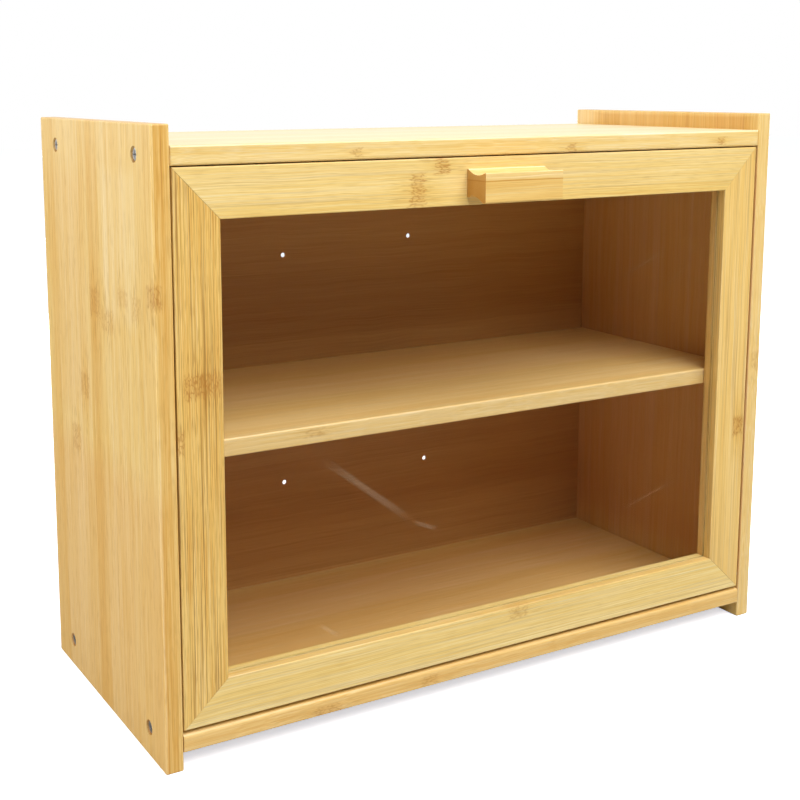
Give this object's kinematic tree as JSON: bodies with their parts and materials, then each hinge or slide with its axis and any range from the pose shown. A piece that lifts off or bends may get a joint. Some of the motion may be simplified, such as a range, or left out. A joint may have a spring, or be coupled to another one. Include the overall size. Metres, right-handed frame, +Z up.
{
  "type": "bread bin",
  "caption": "Two-tier bamboo bread bin: boarded case with a shelf and a vented back, and a mitred window door with a wooden pull that drops forward on pins at its foot.",
  "frame": {"origin": "bottom centre of the whole bin at rest, the pull's reach included in its depth, on the surface that the side panels stand on", "axes": "+Z up, +X to the right as seen from the front, the door and its pull face -Y"},
  "size_m": [0.38, 0.178, 0.304],
  "materials": {
    "bamboo_side": "satin lacquer on laminated bamboo, grain upright",
    "bamboo_board": "satin lacquer on laminated bamboo, grain across",
    "bamboo_back": "satin lacquer on thin laminated bamboo",
    "bamboo_door": "satin lacquer on solid bamboo frame members",
    "dowel_wood": "bare",
    "acrylic_clear": "polished clear acrylic",
    "screw_steel": "zinc plated",
    "strike_steel": "zinc plated",
    "pin_steel": "bright drawn",
    "magnet_nickel": "nickel plated",
    "bush_nylon": "moulded nylon"
  },
  "bodies": {
    "cabinet": {"side_panel_left": "bamboo_side", "side_panel_right": "bamboo_side", "top_panel": "bamboo_board", "bottom_panel": "bamboo_board", "back_panel": "bamboo_back", "shelf": "bamboo_board", "case_screws_left": "screw_steel", "case_screws_right": "screw_steel", "joint_dowels": "dowel_wood", "stop_block_left": "bamboo_board", "stop_block_right": "bamboo_board", "magnet_left": "magnet_nickel", "magnet_right": "magnet_nickel", "pivot_bush_left": "bush_nylon", "pivot_bush_right": "bush_nylon"},
    "door": {"door_stile_left": "bamboo_door", "door_stile_right": "bamboo_door", "door_rail_top": "bamboo_door", "door_rail_bottom": "bamboo_door", "mitre_splines": "dowel_wood", "door_window": "acrylic_clear", "door_handle": "bamboo_door", "handle_screws": "screw_steel", "strike_plate_left": "strike_steel", "strike_plate_right": "strike_steel", "strike_screws": "screw_steel", "pivot_pin_left": "pin_steel", "pivot_pin_right": "pin_steel"}
  },
  "joints": [
    {"name": "door_hinge", "type": "hinge", "parent": "cabinet", "child": "door", "pos_m": [0, -0.069, 0.027], "axis": [1, 0, 0], "range_deg": [0, 90]}
  ]
}
